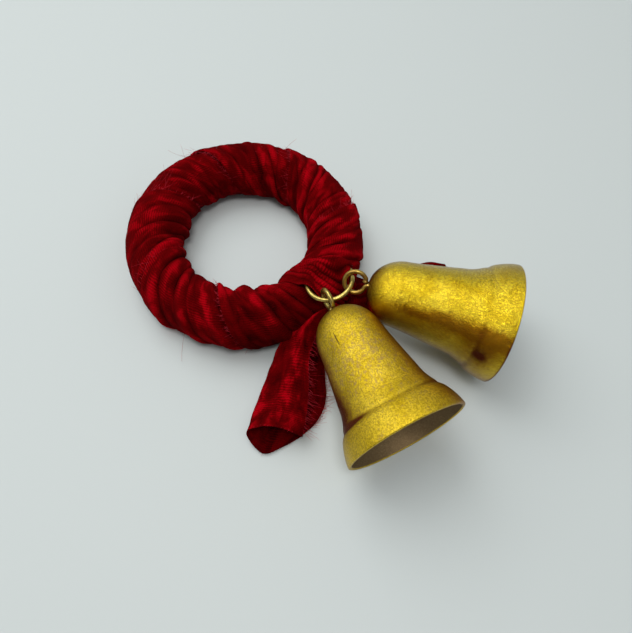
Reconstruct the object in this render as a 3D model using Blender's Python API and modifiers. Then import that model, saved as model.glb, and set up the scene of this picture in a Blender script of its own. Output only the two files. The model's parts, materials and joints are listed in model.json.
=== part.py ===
"""Velvet-wrapped hoop with two hanging bells, lying on a flat surface.

Metres, +Z up. The hoop lies flat, and both bells lie on their lips beside it.
Every piece hangs from the empty "hoop_frame", whose origin is on the surface
under the hoop's centre.
"""
import math

import bmesh
import bpy
from mathutils import Matrix, Vector
from mathutils.geometry import interpolate_bezier

# ---- driving dimensions -------------------------------------------------
GAP = 0.0003                    # clearance between touching pieces

HOOP_POSITION = (-0.0212, 0.0173, 0.0)   # puts the whole object over the origin
HOOP_RADIUS = 0.0276            # centre of the hoop's section
WRAP_RADIUS = 0.0084            # outside of the wound velvet, around the section
CORE_RADIUS = 0.0064            # section of the bare hoop inside
WRAP_THICKNESS = 0.0012
WRAP_TURNS = 7
WRAP_FIRST = math.radians(-12.5)         # where the strip's first edge leaves the underside
WRAP_END_GAP = 0.04             # radians left open between the strip's two ends
FOOT_DEPTH = 0.00035            # how far the wrap is pressed flat underneath
HOOP_HEIGHT = WRAP_RADIUS - FOOT_DEPTH

WIRE_RADIUS = 0.00065           # jump ring and bell eyes
RING_RADIUS = 0.0065            # jump ring, centre of its wire
RING_CENTRE = Vector((0.0266, -0.0189, 0.01905))
RING_NORMAL = Vector((-0.26, 0.04, 1.0)).normalized()
RING_CUT_ANGLE = math.radians(12)        # where the jump ring's cut is
RING_CUT_WIDTH = 0.0006

BELL_MOUTH_RADIUS = 0.0169
BELL_WALL = 0.0010
BELL_HOLE_RADIUS = 0.00115
BELL_DRAWN_LENGTH = 0.0396      # length that the outline below is drawn for
BELL_OUTLINE = (
    # radius and depth below the crown, Bezier handle before, handle after, points to the next
    ((BELL_HOLE_RADIUS, 0.0001), None, (0.0052, 0.0002), 8),
    ((0.0093, 0.0088), (0.0086, 0.0040), (0.0095, 0.0125), 4),
    ((0.0120, 0.0262), (0.0114, 0.0220), (0.0123, 0.0284), 4),
    ((0.0150, 0.0331), (0.0136, 0.0309), (0.0157, 0.0345), 5),
    ((BELL_MOUTH_RADIUS, BELL_DRAWN_LENGTH), (0.0167, 0.0370), None, 0),
)
LIP_CLEARANCE = 0.0001          # lip above the surface it lies on

EYE_RADIUS = 0.00305            # outer loop of a bell's eye, centre of its wire
EYE_REACH = 0.0036              # eye's centre above the crown
HOOK_RADIUS = 0.0018            # inner hook of the eye
HOOK_DEPTH = 0.0041             # hook's centre below the crown
LOOP_START = math.radians(-60)           # both loops leave the leg here
LOOP_END = math.radians(238)             # and stop just short of it
LEG_TOP = ((0.00080, 0.00072), (0.00028, 0.00038))   # sideways and up, from loop to leg
LEG_STRAIGHT = (-0.0001, -0.0017)        # heights of the part that runs through the crown
LEG_FOOT = (0.00022, -0.0022)            # sideways and up, from leg to hook
CLAPPER_WIRE_RADIUS = 0.0004
CLAPPER_LOOP_RADIUS = 0.0015
CLAPPER_LENGTH = 0.0230         # hook to the ball's centre
CLAPPER_BALL_RADIUS = 0.0034
CLAPPER_BORE_RADIUS = 0.00065
CLAPPER_DROOP = math.radians(19.0)       # from the bell's axis to the wall
CLAPPER_LOOP = (math.radians(140), math.radians(430))
CLAPPER_SHANK = ((0.00012, -0.0020), (0.0, -0.0026), (0.0, -0.0120))  # sideways and height
CLAPPER_BEND = ((0.0, 0.0004), (0.0002, 0.0), (0.0014, -0.0001))      # the same, from its foot

# name, azimuth and length of each bell, the angle of its eye on the jump ring,
# the eye's centre from the ring's wire (along the bell, up), the eye's turn
BELLS = (
    {"name": "bell_a", "azimuth": -58.2, "length": 0.0396, "on_ring": -88.0,
     "eye_along": -0.0004, "eye_up": -0.0006, "eye_turn": 90.0},
    {"name": "bell_b", "azimuth": -9.2, "length": 0.0384, "on_ring": -8.0,
     "eye_along": 0.0009, "eye_up": 0.0004, "eye_turn": -50.0},
)

BIND_AZIMUTH = math.atan2(RING_CENTRE.y, RING_CENTRE.x)   # where the ribbon holds the ring
BIND_WIDTH = 0.0058
BIND_THICKNESS = 0.0013
BIND_HEIGHT = 0.0202            # over the jump ring's wire
BIND_SHOULDER = (0.0022, 0.0009, 0.0008)  # half width of the hump, its fall inside and outside
BIND_INNER = tuple(math.radians(a) for a in (158, 140, 120))
BIND_OUTER = tuple(math.radians(a) for a in (55, 38, 20))

KNOT_CENTRE = Vector((0.0333, -0.0253, 0.0054))
KNOT_HALF = Vector((0.0066, 0.0062, 0.0050))

# stations along each loose end: centre, width, thickness
LEFT_TAIL = (
    ((0.0287, -0.0323, 0.0048), 0.0070, 0.0060),
    ((0.0262, -0.0352, 0.0042), 0.0100, 0.0070),
    ((0.0215, -0.0400, 0.0040), 0.0170, 0.0070),
    ((0.0180, -0.0500, 0.0036), 0.0205, 0.0066),
    ((0.0150, -0.0600, 0.0032), 0.0195, 0.0062),
    ((0.0138, -0.0640, 0.0028), 0.0150, 0.0050),
)
RIGHT_TAIL = (
    ((0.0388, -0.0210, 0.0046), 0.0060, 0.0056),
    ((0.0405, -0.0195, 0.0044), 0.0080, 0.0070),
    ((0.0450, -0.0150, 0.0043), 0.0130, 0.0080),
    ((0.0520, -0.0090, 0.0043), 0.0140, 0.0082),
    ((0.0590, -0.0045, 0.0042), 0.0130, 0.0080),
    ((0.0630, -0.0025, 0.0038), 0.0090, 0.0060),
)

# ---- materials: base colour, metallic, roughness ------------------------
FINISHES = {
    "velvet": ((0.30, 0.004, 0.012, 1.0), 0.0, 0.85),
    "wood": ((0.45, 0.29, 0.15, 1.0), 0.0, 0.60),
    "gilt_brass": ((0.62, 0.42, 0.07, 1.0), 1.0, 0.38),
    "wire_brass": ((0.56, 0.43, 0.15, 1.0), 1.0, 0.30),
    "steel": ((0.42, 0.40, 0.37, 1.0), 1.0, 0.40),
}


# ---- helpers ------------------------------------------------------------
def clear_scene():
    for old in list(bpy.data.objects):
        bpy.data.objects.remove(old, do_unlink=True)


def new_collection(name):
    collection = bpy.data.collections.new(name)
    bpy.context.scene.collection.children.link(collection)
    return collection


def new_material(piece_name, finish):
    colour, metallic, roughness = FINISHES[finish]
    material = bpy.data.materials.new(piece_name)
    material.use_nodes = True
    shader = material.node_tree.nodes["Principled BSDF"]
    shader.inputs["Base Color"].default_value = colour
    shader.inputs["Metallic"].default_value = metallic
    shader.inputs["Roughness"].default_value = roughness
    return material


def new_object(name, data, finish, parent, place=Matrix()):
    """A named piece with its own material, placed in its parent's frame."""
    obj = bpy.data.objects.new(name, data)
    data.name = name
    if finish:
        data.materials.append(new_material(name, finish))
    parts.objects.link(obj)
    obj.parent = parent
    obj.matrix_local = place
    return obj


def new_empty(name, parent, place):
    empty = bpy.data.objects.new(name, None)
    empty.empty_display_size = 0.005
    parts.objects.link(empty)
    empty.parent = parent
    empty.matrix_local = place
    return empty


def mesh_from_bmesh(name, bm, smooth=True):
    bmesh.ops.recalc_face_normals(bm, faces=bm.faces)
    mesh = bpy.data.meshes.new(name)
    bm.to_mesh(mesh)
    bm.free()
    if smooth:
        mesh.shade_smooth()
        mesh.set_sharp_from_angle(angle=math.radians(40))
    return mesh


def grid_mesh(name, rows):
    """An open quad surface through rows of points, facing row x column."""
    bm = bmesh.new()
    grid = [[bm.verts.new(point) for point in row] for row in rows]
    for low, high in zip(grid, grid[1:]):
        for i in range(len(low) - 1):
            bm.faces.new((low[i], low[i + 1], high[i + 1], high[i]))
    mesh = bpy.data.meshes.new(name)
    bm.to_mesh(mesh)
    bm.free()
    mesh.shade_smooth()
    return mesh


def add_solidify(obj, thickness, offset):
    shell = obj.modifiers.new("thickness", "SOLIDIFY")
    shell.thickness = thickness
    shell.offset = offset
    shell.use_even_offset = True
    return shell


def add_screw(obj, steps):
    turn = obj.modifiers.new("turn", "SCREW")
    turn.axis = "Z"
    turn.angle = 2 * math.pi
    turn.steps = steps
    turn.render_steps = steps
    turn.use_merge_vertices = True
    turn.merge_threshold = 0.00002
    turn.use_smooth_shade = True
    return turn


def outline_mesh(name, points, closed):
    """A profile in the XZ plane, ready for a Screw modifier."""
    bm = bmesh.new()
    verts = [bm.verts.new((r, 0.0, z)) for r, z in points]
    for first, second in zip(verts, verts[1:]):
        bm.edges.new((first, second))
    if closed:
        bm.edges.new((verts[-1], verts[0]))
    mesh = bpy.data.meshes.new(name)
    bm.to_mesh(mesh)
    bm.free()
    return mesh


def wire_curve(name, points, radius):
    """Round wire along a list of points, with closed ends."""
    curve = bpy.data.curves.new(name, "CURVE")
    curve.dimensions = "3D"
    curve.bevel_depth = radius
    curve.bevel_resolution = 2
    curve.use_fill_caps = True
    spline = curve.splines.new("POLY")
    spline.points.add(len(points) - 1)
    for target, point in zip(spline.points, points):
        target.co = (*point, 1.0)
    return curve


def arc_points(centre, u, v, radius, start, end, count):
    """Points on an arc, its angle measured from u towards v."""
    points = []
    for i in range(count):
        angle = start + (end - start) * i / (count - 1)
        points.append(centre + radius * (math.cos(angle) * u + math.sin(angle) * v))
    return points


def frame_matrix(x_axis, y_axis, z_axis, origin):
    rotation = Matrix((x_axis, y_axis, z_axis)).transposed()
    return Matrix.Translation(origin) @ rotation.to_4x4()


# ---- hoop ---------------------------------------------------------------
def tube_point(around, section, radius):
    """A point on the hoop's tube: angle round the hoop and round its section."""
    reach = HOOP_RADIUS + radius * math.cos(section)
    height = HOOP_HEIGHT + radius * math.sin(section)
    return Vector((reach * math.cos(around), reach * math.sin(around), height))


def make_hoop_core():
    bpy.ops.mesh.primitive_torus_add(
        major_radius=HOOP_RADIUS,
        minor_radius=CORE_RADIUS,
        major_segments=48, minor_segments=12)
    core = bpy.context.object
    mesh = core.data
    bpy.data.objects.remove(core, do_unlink=True)
    mesh.shade_smooth()
    return new_object("hoop_core", mesh, "wood", hoop, Matrix.Translation((0, 0, HOOP_HEIGHT)))


def make_velvet_wrap():
    """One strip wound round the core, with a thin seam between its turns.

    Over the top it runs inward and clockwise. Its section starts half a step off
    the bottom, so the pressed underside is flat.
    """
    steps_per_turn = 18
    columns = 4
    pitch = 2 * math.pi / WRAP_TURNS
    seam = GAP / HOOP_RADIUS
    start = -math.pi / 2 + math.pi / steps_per_turn
    length = 2 * math.pi * WRAP_TURNS - WRAP_END_GAP
    rows = []
    for i in range(steps_per_turn * WRAP_TURNS + 1):
        wound = length * i / (steps_per_turn * WRAP_TURNS)
        first = WRAP_FIRST - wound * pitch / (2 * math.pi) - pitch + seam / 2
        row = []
        for j in range(columns + 1):
            around = first + (pitch - seam) * j / columns
            point = tube_point(around, start + wound, WRAP_RADIUS)
            point.z = max(point.z, 0.0)
            row.append(point)
        rows.append(row)
    wrap = new_object("velvet_wrap", grid_mesh("velvet_wrap", rows), "velvet", hoop)
    add_solidify(wrap, WRAP_THICKNESS, -1.0)
    return wrap


def bind_centreline():
    """Distance from the hoop's axis and height along the binding ribbon."""
    tube = WRAP_RADIUS + 2 * GAP + BIND_THICKNESS / 2
    wire = ring_pivot()[0].xy.length
    half, inner_fall, outer_fall = BIND_SHOULDER
    points = [(HOOP_RADIUS + tube * math.cos(a), HOOP_HEIGHT + tube * math.sin(a))
              for a in BIND_INNER]
    points += [(wire - half, BIND_HEIGHT - inner_fall),
               (wire, BIND_HEIGHT),
               (wire + half, BIND_HEIGHT - outer_fall)]
    points += [(HOOP_RADIUS + tube * math.cos(a), HOOP_HEIGHT + tube * math.sin(a))
               for a in BIND_OUTER]
    return points


def make_binding_ribbon():
    """The last turn of ribbon: over the jump ring's wire and down through the ring."""
    outward = Vector((math.cos(BIND_AZIMUTH), math.sin(BIND_AZIMUTH), 0))
    sideways = Vector((-outward.y, outward.x, 0))
    rows = []
    for reach, height in bind_centreline():
        middle = outward * reach + Vector((0, 0, height))
        rows.append([middle + sideways * BIND_WIDTH * (j / 2 - 0.5) for j in range(3)])
    ribbon = new_object("binding_ribbon", grid_mesh("binding_ribbon", rows), "velvet", hoop)
    add_solidify(ribbon, BIND_THICKNESS, 0.0)
    return ribbon


def tube_cutter():
    bpy.ops.mesh.primitive_torus_add(
        major_radius=HOOP_RADIUS, minor_radius=WRAP_RADIUS + 2 * GAP,
        major_segments=64, minor_segments=24)
    cutter = bpy.context.object
    cutter.name = "wrap_cutter"
    for collection in list(cutter.users_collection):
        collection.objects.unlink(cutter)
    cutters.objects.link(cutter)
    cutter.parent = hoop
    cutter.matrix_local = Matrix.Translation((0, 0, HOOP_HEIGHT))
    cutter.hide_render = True
    cutter.display_type = "WIRE"
    return cutter


def make_knot(cutter):
    """Soft lump where the ribbon's ends are tied, against the outside of the wrap."""
    bm = bmesh.new()
    bmesh.ops.create_uvsphere(bm, u_segments=20, v_segments=12, radius=1.0)
    bmesh.ops.scale(bm, vec=KNOT_HALF, verts=bm.verts)
    knot = new_object("ribbon_knot", mesh_from_bmesh("ribbon_knot", bm), "velvet", hoop,
                      Matrix.Translation(KNOT_CENTRE))
    cut = knot.modifiers.new("wrap", "BOOLEAN")
    cut.operation = "DIFFERENCE"
    cut.object = cutter
    return knot


def make_tail(name, stations):
    """A limp end of ribbon: four-cornered sections along it, then smoothed.

    Each station is its centre, its width and its thickness.
    """
    bm = bmesh.new()
    rings = []
    for i, (centre, width, thickness) in enumerate(stations):
        before = Vector(stations[max(i - 1, 0)][0])
        after = Vector(stations[min(i + 1, len(stations) - 1)][0])
        along = (after - before).normalized()
        across = along.cross(Vector((0, 0, 1))).normalized()
        upward = across.cross(along).normalized()
        corners = []
        for side, height in ((-1, -1), (1, -1), (1, 1), (-1, 1)):
            corner = Vector(centre) + across * side * width / 2 + upward * height * thickness / 2
            corners.append(bm.verts.new(corner))
        rings.append(corners)
    for low, high in zip(rings, rings[1:]):
        for i in range(4):
            bm.faces.new((low[i], low[(i + 1) % 4], high[(i + 1) % 4], high[i]))
    bm.faces.new(rings[0])
    bm.faces.new(rings[-1])
    tail = new_object(name, mesh_from_bmesh(name, bm), "velvet", hoop)
    smooth = tail.modifiers.new("soft", "SUBSURF")
    smooth.levels = 2
    smooth.render_levels = 2
    return tail


# ---- jump ring ----------------------------------------------------------
def ring_axes():
    """Two perpendicular directions in the jump ring's plane; the first leans to +X."""
    first = (Vector((1, 0, 0)) - RING_NORMAL * RING_NORMAL.x).normalized()
    return first, RING_NORMAL.cross(first)


def ring_point(angle):
    first, second = ring_axes()
    return RING_CENTRE + RING_RADIUS * (math.cos(angle) * first + math.sin(angle) * second)


def ring_pivot():
    """The held point of the ring's wire, nearest the hoop's centre, and its tangent."""
    outward = Vector((math.cos(BIND_AZIMUTH), math.sin(BIND_AZIMUTH), 0))
    outward = (outward - RING_NORMAL * RING_NORMAL.dot(outward)).normalized()
    return RING_CENTRE - RING_RADIUS * outward, outward, outward.cross(RING_NORMAL)


def make_jump_ring():
    """An open ring of wire. Its local X is the pivot axis, along the held wire."""
    held, outward, tangent = ring_pivot()
    place = frame_matrix(tangent, outward, tangent.cross(outward), held)
    pivot = new_empty("jump_ring_pivot", hoop, place)
    half_cut = RING_CUT_WIDTH / (2 * RING_RADIUS)
    first, second = ring_axes()
    points = arc_points(RING_CENTRE, first, second, RING_RADIUS,
                        RING_CUT_ANGLE + half_cut, RING_CUT_ANGLE + 2 * math.pi - half_cut, 41)
    to_local = place.inverted()
    curve = wire_curve("jump_ring", [to_local @ p for p in points], WIRE_RADIUS)
    new_object("jump_ring", curve, "wire_brass", pivot)
    return pivot, place


# ---- bells --------------------------------------------------------------
def bell_outline(length):
    """Outer radius and height of the bell, from its crown's hole down to the lip."""
    ratio = length / BELL_DRAWN_LENGTH
    outline = []
    for (start, _, leave, count), (end, arrive, _, _) in zip(BELL_OUTLINE, BELL_OUTLINE[1:]):
        path = interpolate_bezier(
            Vector((*start, 0)), Vector((*leave, 0)),
            Vector((*arrive, 0)), Vector((*end, 0)), count)
        outline += [(p.x, -p.y * ratio) for p in path[:-1]]
    outline.append((BELL_MOUTH_RADIUS, -length))
    return outline


def make_bell_shell(name, length, bell):
    shell = new_object(name + "_shell", outline_mesh(name, bell_outline(length), False),
                       "gilt_brass", bell)
    add_screw(shell, 36)
    add_solidify(shell, BELL_WALL, -1.0)
    return shell


def loop_points(radius, centre_height, lateral, side):
    """A loop of wire beginning near the bell's axis and closing almost to it.

    side is +1 for a loop above its start and -1 for one below.
    """
    centre = Vector((0, 0, centre_height))
    up = Vector((0, 0, side))
    return arc_points(centre, lateral, up, radius, LOOP_START, LOOP_END, 25)


def make_eye(name, bell, turn):
    """Bent from one wire: outer loop, straight leg through the crown, inner hook."""
    lateral = Vector((math.cos(turn), math.sin(turn), 0))
    inner = Vector((1, 0, 0))
    outer = loop_points(EYE_RADIUS, EYE_REACH, lateral, 1)
    hook = loop_points(HOOK_RADIUS, -HOOK_DEPTH, inner, -1)
    leg = [lateral * sideways + Vector((0, 0, height)) for sideways, height in LEG_TOP]
    leg += [Vector((0, 0, height)) for height in LEG_STRAIGHT]
    leg.append(inner * LEG_FOOT[0] + Vector((0, 0, LEG_FOOT[1])))
    points = list(reversed(outer)) + leg + hook
    new_object(name + "_eye", wire_curve(name + "_eye", points, WIRE_RADIUS), "wire_brass", bell)


def make_clapper(name, bell):
    """Hook, wire and ball. Its frame is on the swing axis, local X; it points down -Z."""
    droop = Matrix.Rotation(-CLAPPER_DROOP, 4, "X")
    place = Matrix.Translation((0, 0, -(HOOK_DEPTH + HOOK_RADIUS))) @ droop
    clapper = new_empty(name + "_clapper_pivot", bell, place)
    side = Vector((0, 1, 0))
    down = Vector((0, 0, -1))
    foot = -(CLAPPER_LENGTH + CLAPPER_BALL_RADIUS + GAP + CLAPPER_WIRE_RADIUS)
    loop = arc_points(Vector((0, 0, 0)), side, down, CLAPPER_LOOP_RADIUS, *CLAPPER_LOOP, 21)
    wire = [Vector((0, across, height)) for across, height in CLAPPER_SHANK]
    wire += [Vector((0, across, foot + height)) for across, height in CLAPPER_BEND]
    curve = wire_curve(name + "_clapper_wire", loop + wire, CLAPPER_WIRE_RADIUS)
    new_object(name + "_clapper_wire", curve, "steel", clapper)
    half_bore = math.asin(CLAPPER_BORE_RADIUS / CLAPPER_BALL_RADIUS)
    outline = []
    for i in range(13):
        angle = half_bore + (math.pi - 2 * half_bore) * i / 12
        outline.append((CLAPPER_BALL_RADIUS * math.sin(angle),
                        CLAPPER_BALL_RADIUS * math.cos(angle)))
    ball = new_object(name + "_clapper_ball", outline_mesh(name + "_clapper_ball", outline, True),
                      "steel", clapper, Matrix.Translation((0, 0, -CLAPPER_LENGTH)))
    add_screw(ball, 20)


def bell_frame(crown, azimuth, length):
    """The bell's own axes: origin at the crown, -Z down the bell, Y upward.

    The bell lies with its lip just above the surface, so its tilt follows from
    the height of its crown.
    """
    reach = math.hypot(length, BELL_MOUTH_RADIUS)
    lip = math.atan2(BELL_MOUTH_RADIUS, length)
    tilt = math.asin((crown.z - LIP_CLEARANCE) / reach) - lip
    axis = Vector((math.cos(tilt) * math.cos(azimuth),
                   math.cos(tilt) * math.sin(azimuth),
                   -math.sin(tilt)))
    x_axis = axis.cross(Vector((0, 0, 1))).normalized()
    y_axis = (-axis).cross(x_axis)
    return axis, frame_matrix(x_axis, y_axis, -axis, crown)


def make_bell(bell, ring_pivot_empty, ring_place):
    """Eye, shell and clapper of one bell.

    The bell swings about its own X direction, through the jump ring's wire.
    """
    azimuth = math.radians(bell["azimuth"])
    turn = math.radians(bell["eye_turn"])
    held = ring_point(math.radians(bell["on_ring"]))
    level = Vector((math.cos(azimuth), math.sin(azimuth), 0))
    eye = held + level * bell["eye_along"] + Vector((0, 0, bell["eye_up"]))
    axis, _ = bell_frame(eye, azimuth, bell["length"] + EYE_REACH)
    axis, place = bell_frame(eye + axis * EYE_REACH, azimuth, bell["length"])
    swing_place = Matrix.Translation(held) @ place.to_3x3().to_4x4()
    swing = new_empty(bell["name"] + "_swing", ring_pivot_empty, ring_place.inverted() @ swing_place)
    body = new_empty(bell["name"] + "_axis", swing, swing_place.inverted() @ place)
    make_bell_shell(bell["name"], bell["length"], body)
    make_eye(bell["name"], body, turn)
    make_clapper(bell["name"], body)


# ---- assembly -----------------------------------------------------------
clear_scene()
parts = new_collection("velvet_hoop_bells")
cutters = new_collection("cutters")
hoop = new_empty("hoop_frame", None, Matrix.Translation(HOOP_POSITION))

make_hoop_core()
make_velvet_wrap()
make_binding_ribbon()
make_knot(tube_cutter())
make_tail("ribbon_tail_left", LEFT_TAIL)
make_tail("ribbon_tail_right", RIGHT_TAIL)
ring_empty, ring_matrix = make_jump_ring()
for bell_spec in BELLS:
    make_bell(bell_spec, ring_empty, ring_matrix)
bpy.context.view_layer.update()
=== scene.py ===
"""Looks of the velvet-wrapped hoop with two bells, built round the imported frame."""
import json
import math

import bpy
import numpy as np
from mathutils import Matrix, Vector, noise


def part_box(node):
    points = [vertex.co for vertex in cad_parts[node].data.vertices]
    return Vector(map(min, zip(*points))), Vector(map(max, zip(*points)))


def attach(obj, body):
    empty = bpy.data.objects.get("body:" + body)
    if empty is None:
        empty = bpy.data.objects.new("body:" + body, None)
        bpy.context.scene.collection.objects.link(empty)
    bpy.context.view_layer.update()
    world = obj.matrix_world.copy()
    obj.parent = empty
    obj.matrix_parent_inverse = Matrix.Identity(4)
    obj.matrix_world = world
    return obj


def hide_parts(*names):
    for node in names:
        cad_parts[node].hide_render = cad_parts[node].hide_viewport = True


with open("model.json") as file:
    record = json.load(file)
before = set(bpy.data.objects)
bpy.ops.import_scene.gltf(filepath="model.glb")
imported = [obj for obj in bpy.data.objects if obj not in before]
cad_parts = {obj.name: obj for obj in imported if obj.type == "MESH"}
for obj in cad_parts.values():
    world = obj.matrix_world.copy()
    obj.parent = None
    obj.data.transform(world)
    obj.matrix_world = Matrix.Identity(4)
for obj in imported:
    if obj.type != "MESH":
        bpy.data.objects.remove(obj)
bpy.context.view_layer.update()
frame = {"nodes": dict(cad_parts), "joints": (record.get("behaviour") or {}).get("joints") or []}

MM = 0.001
joints = {joint["name"]: joint for joint in frame["joints"]}

# ---- sizes, in the part's own frame ----
wrap_low, wrap_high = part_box("velvet_wrap")
CORE_LOW, CORE_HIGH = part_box("hoop_core")
HOOP_X = (CORE_LOW.x + CORE_HIGH.x) / 2
HOOP_Y = (CORE_LOW.y + CORE_HIGH.y) / 2
HOOP_Z = (CORE_LOW.z + CORE_HIGH.z) / 2
CORE_RADIUS = (CORE_HIGH.z - CORE_LOW.z) / 2
HOOP_RADIUS = (CORE_HIGH.x - CORE_LOW.x) / 2 - CORE_RADIUS
HOOP = Vector((HOOP_X, HOOP_Y, 0))

WIRE_RADIUS = 0.00065
WIRE_SIDES = 16
RING_RADIUS = 0.0065
RING_CENTRE = HOOP + Vector((0.0266, -0.0189, 0.01905))
RING_NORMAL = Vector((-0.26, 0.04, 1.0)).normalized()
RING_CUT = 12.0                 # degrees round the ring
RING_GAP = 0.0003               # half the gap at the cut

MOUTH_RADIUS = 0.0169
BELL_WALL = 0.0010
BELL_DRAWN = 0.0396             # the length that BELL_KNOTS are drawn at
HOLE_RADIUS = 0.00115
EYE_RADIUS = 0.00305
EYE_REACH = 0.0036
HOOK_RADIUS = 0.0018
HOOK_DEPTH = 0.0041
BELLS = {
    "bell_a": {"length": 0.0396, "eye_turn": 90.0, "seed": 3.1},
    "bell_b": {"length": 0.0384, "eye_turn": -50.0, "seed": 11.7},
}
# bell A's scratch in its own frame: centre in mm, along, across, half length and half width in mm
SCRATCH = ((5.6, 7.5, -10.4), (0.24, -0.10, -0.97), (0.80, -0.60, 0.0), 2.0, 0.22)


# ---- camera, floor and light ----
LENS = 36.4                     # mm, on a sensor SENSOR wide
SENSOR = 36.0
CAMERA_PLACE = HOOP + Vector((0.0237, -0.1124, 0.17295))
CAMERA_FORWARD = Vector((0.0, 0.469, -0.883))
CAMERA_RIGHT = Vector((0.996, 0.077, 0.041))
# name, place, point it faces, width and height, power, colour
LIGHTS = (
    ("window", (-0.34, 0.30, 0.62), (-0.03, 0.02, 0), (0.65, 0.5), 2.6, (0.97, 1.0, 1.0)),
    ("ceiling", (-0.25, 0.05, 1.00), (0, 0, 0), (0.5, 0.5), 2.0, (0.98, 1.0, 0.99)),
    ("overhead", (0.02, -0.26, 0.95), (0, 0, 0), (0.26, 0.22), 2.6, (1.0, 1.0, 0.99)),
)
ONLOOKER = (-0.15, -0.86, 0.49)         # the dark side of the room, where someone stands
ROOM = (0.66, 0.70, 0.70, 1)
ONLOOKER_DARK = (0.06, 0.05, 0.045, 1)
ONLOOKER_EDGE = (0.84, 0.96)            # cosines where the dark side starts and is full
ROOM_STRENGTH = 0.60
FLOOR_HALF = 3.0
FLOOR_DROP = 0.00002


def make_camera():
    data = bpy.data.cameras.new("camera")
    data.sensor_width = SENSOR
    data.lens = LENS
    data.clip_start = 0.01
    data.clip_end = 20
    camera = bpy.data.objects.new("camera", data)
    forward = CAMERA_FORWARD.normalized()
    right = (CAMERA_RIGHT - forward * CAMERA_RIGHT.dot(forward)).normalized()
    up = right.cross(forward)
    rotation = Matrix((right, up, -forward)).transposed()
    camera.matrix_world = Matrix.Translation(CAMERA_PLACE) @ rotation.to_4x4()
    bpy.context.scene.collection.objects.link(camera)
    bpy.context.scene.camera = camera


def area_light(name, place, target, size, power, colour):
    data = bpy.data.lights.new(name, "AREA")
    data.shape = "RECTANGLE"
    data.size, data.size_y = size
    data.energy = power
    data.color = colour
    light = bpy.data.objects.new(name, data)
    bpy.context.scene.collection.objects.link(light)
    direction = Vector(target) - Vector(place)
    light.rotation_mode = "QUATERNION"
    light.rotation_quaternion = direction.to_track_quat("-Z", "Y")
    light.location = place


def make_world():
    """A pale room, dark only on the side where an onlooker stands."""
    world = bpy.data.worlds.new("world")
    world.use_nodes = True
    tree = world.node_tree
    back = tree.nodes["Background"]
    place = tree.nodes.new("ShaderNodeTexCoord")
    toward = tree.nodes.new("ShaderNodeVectorMath")
    toward.operation = "DOT_PRODUCT"
    toward.inputs[1].default_value = ONLOOKER
    ramp = tree.nodes.new("ShaderNodeValToRGB")
    tree.links.new(place.outputs["Generated"], toward.inputs[0])
    tree.links.new(toward.outputs["Value"], ramp.inputs["Fac"])
    for element, edge, colour in zip(ramp.color_ramp.elements, ONLOOKER_EDGE, (ROOM, ONLOOKER_DARK)):
        element.position = edge
        element.color = colour
    tree.links.new(ramp.outputs["Color"], back.inputs["Color"])
    back.inputs["Strength"].default_value = ROOM_STRENGTH
    bpy.context.scene.world = world
    bpy.context.scene.view_settings.view_transform = "Standard"


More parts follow.
